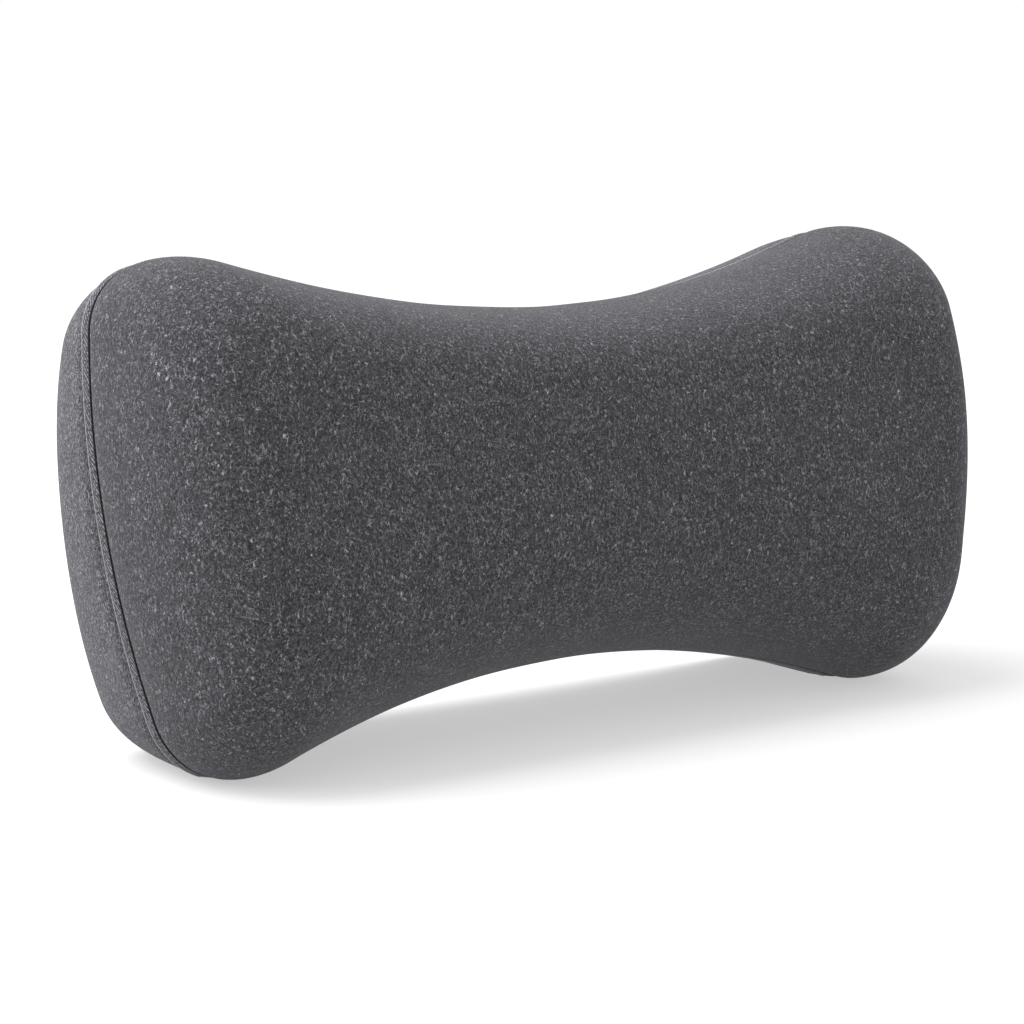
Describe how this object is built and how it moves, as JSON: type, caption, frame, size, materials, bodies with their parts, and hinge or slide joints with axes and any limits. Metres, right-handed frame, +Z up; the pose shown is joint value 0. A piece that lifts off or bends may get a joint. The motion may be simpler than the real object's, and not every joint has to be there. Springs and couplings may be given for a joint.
{
  "type": "lumbar support cushion",
  "caption": "Bow-tie shaped lumbar support cushion: foam core in an inner liner and a zipped knit cover with a rolled front and a flat back.",
  "frame": {"origin": "middle of the bounding box, on the floor that the cushion's lower lobes stand on", "axes": "+X along the cushion, left to right as seen from the front; -Y to the rolled front, +Y to the flat back; +Z up"},
  "size_m": [0.4016, 0.1304, 0.1966],
  "materials": {
    "cover_knit": "heathered dark grey brushed knit with short paler fibres",
    "band_knit": "the same knit cut on the bias, with a fine diagonal rib",
    "seam_thread": "near-black twisted polyester thread",
    "liner_knit": "thin off-white stretch knit",
    "soft_foam": "fine open-cell slow-recovery foam",
    "firm_foam": "open-cell cut foam, firmer",
    "zip_tape": "dark grey woven tape",
    "zip_coil": "dark nylon coil, slight sheen",
    "zip_metal": "gunmetal plated die-cast zinc"
  },
  "bodies": {
    "cushion": {"front_cover": "cover_knit", "edge_band": "band_knit", "rear_gusset": "cover_knit", "rear_panel_upper": "cover_knit", "rear_panel_lower": "cover_knit", "front_seam_thread": "seam_thread", "rear_seam_thread": "seam_thread", "zip_bar_tack_left": "seam_thread", "zip_bar_tack_right": "seam_thread", "liner_front": "liner_knit", "liner_rear": "liner_knit", "memory_foam_pad": "soft_foam", "support_foam_base": "firm_foam", "zip_tape_upper": "zip_tape", "zip_tape_lower": "zip_tape", "zip_coil_upper": "zip_coil", "zip_coil_lower": "zip_coil"},
    "slider": {"zip_slider": "zip_metal"},
    "pull": {"zip_pull_tab": "zip_metal"}
  },
  "joints": [
    {"name": "slider_travel", "type": "slide", "parent": "cushion", "child": "slider", "axis": [-1, 0, 0], "range_m": [0, 0.2814]},
    {"name": "pull_swing", "type": "hinge", "parent": "slider", "child": "pull", "pos_m": [0.1407, 0.06308, 0.08666], "axis": [0, -0.0436, -0.999], "range_deg": [0, 180]}
  ]
}
